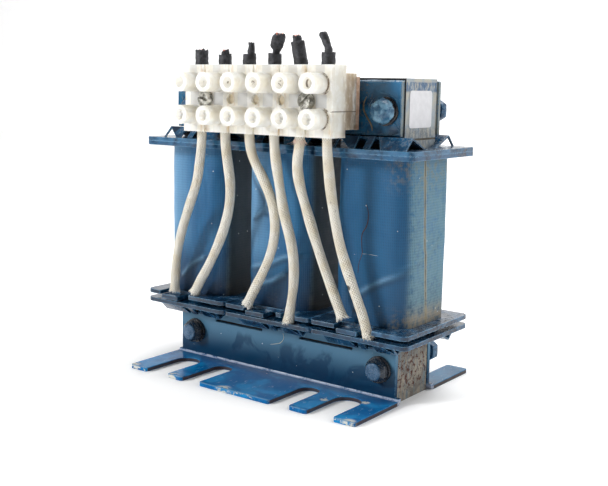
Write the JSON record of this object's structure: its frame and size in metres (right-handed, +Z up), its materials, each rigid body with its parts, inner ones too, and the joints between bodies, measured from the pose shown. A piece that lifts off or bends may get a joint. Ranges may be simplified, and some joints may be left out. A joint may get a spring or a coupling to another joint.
{
  "type": "three-phase line reactor",
  "caption": "Three-phase line reactor: taped coils side by side on a laminated core, bolted slotted feet below, screw terminal strip above.",
  "frame": {"origin": "on the standing surface, under the middle of the four feet", "axes": "+Z up, +X along the row of coils to the right as seen from the terminals, -Y towards the terminal strip"},
  "size_m": [0.1498, 0.098, 0.1575],
  "materials": {
    "core_steel": "varnished laminations, rusty at the lower end",
    "gap_board": "matt",
    "blue_steel": "glossy blue varnish",
    "zinc_steel": "zinc plated, under varnish",
    "board": "tan laminate, matt",
    "nylon": "satin",
    "brass": "plain",
    "blue_plastic": "glossy blue varnish",
    "varnished_tape": "varnish-soaked tape",
    "copper": "enamelled copper",
    "sleeve": "woven glass-fibre sleeve",
    "sheath": "black, dull",
    "black_core": "black insulation with copper strands at its cut end",
    "label": "satin"
  },
  "bodies": {
    "root": {"blank_label": "label", "board_spacers": "zinc_steel", "bobbin_centre": "blue_plastic", "bobbin_left": "blue_plastic", "bobbin_right": "blue_plastic", "bolt_lower_left": "zinc_steel", "bolt_lower_right": "zinc_steel", "bolt_upper_left": "zinc_steel", "bolt_upper_right": "zinc_steel", "bracket_front": "blue_steel", "bracket_rear": "blue_steel", "cable_core_1": "black_core", "cable_core_2": "black_core", "cable_core_3": "black_core", "cable_core_4": "black_core", "cable_core_5": "black_core", "cable_core_6": "black_core", "cable_sheath_1": "sheath", "cable_sheath_2": "sheath", "cable_sheath_3": "sheath", "cable_sheath_4": "sheath", "cable_sheath_5": "sheath", "cable_sheath_6": "sheath", "clamp_plate_front": "blue_steel", "clamp_plate_rear": "blue_steel", "clamp_screws": "zinc_steel", "core_e_stack": "core_steel", "core_i_stack": "core_steel", "end_plate_bottom_centre": "blue_plastic", "end_plate_bottom_left": "blue_plastic", "end_plate_bottom_right": "blue_plastic", "end_plate_top_centre": "blue_plastic", "end_plate_top_left": "blue_plastic", "end_plate_top_right": "blue_plastic", "flat_washers": "zinc_steel", "gap_spacers": "gap_board", "lead_1": "sleeve", "lead_2": "sleeve", "lead_3": "sleeve", "lead_4": "sleeve", "lead_5": "sleeve", "lead_6": "sleeve", "mount_screw_left": "zinc_steel", "mount_screw_right": "zinc_steel", "nut_lower_left": "zinc_steel", "nut_lower_right": "zinc_steel", "nut_upper_left": "zinc_steel", "nut_upper_right": "zinc_steel", "spring_washers": "zinc_steel", "terminal_block": "nylon", "terminal_board": "board", "terminal_inserts": "brass", "winding_centre": "copper", "winding_left": "copper", "winding_right": "copper", "wrap_centre": "varnished_tape", "wrap_left": "varnished_tape", "wrap_right": "varnished_tape"}
  },
  "joints": []
}
